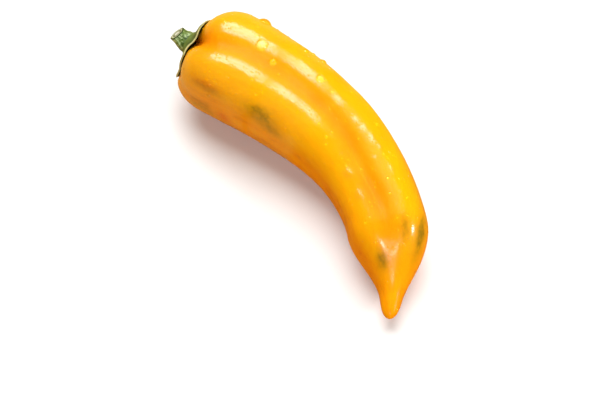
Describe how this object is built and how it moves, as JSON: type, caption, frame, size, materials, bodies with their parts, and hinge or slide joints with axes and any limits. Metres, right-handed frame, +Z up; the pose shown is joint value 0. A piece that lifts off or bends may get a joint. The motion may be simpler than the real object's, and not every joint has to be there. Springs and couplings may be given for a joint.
{
  "type": "pointed sweet pepper",
  "caption": "Whole long pointed yellow sweet pepper, gently bowed and lobed, with a green calyx and a short cut stem, lying on its side.",
  "frame": {"origin": "on the resting plane, under the middle of the pepper's bounding box", "axes": "+Z up from the resting plane, +X along the pepper from stem to tip, +Y the side the fruit bows towards"},
  "size_m": [0.178, 0.0686, 0.0508],
  "materials": {
    "skin": "gloss",
    "calyx_green": "satin",
    "stem_green": "satin"
  },
  "bodies": {
    "root": {"fruit": "skin", "calyx": "calyx_green", "stem": "stem_green"}
  },
  "joints": []
}
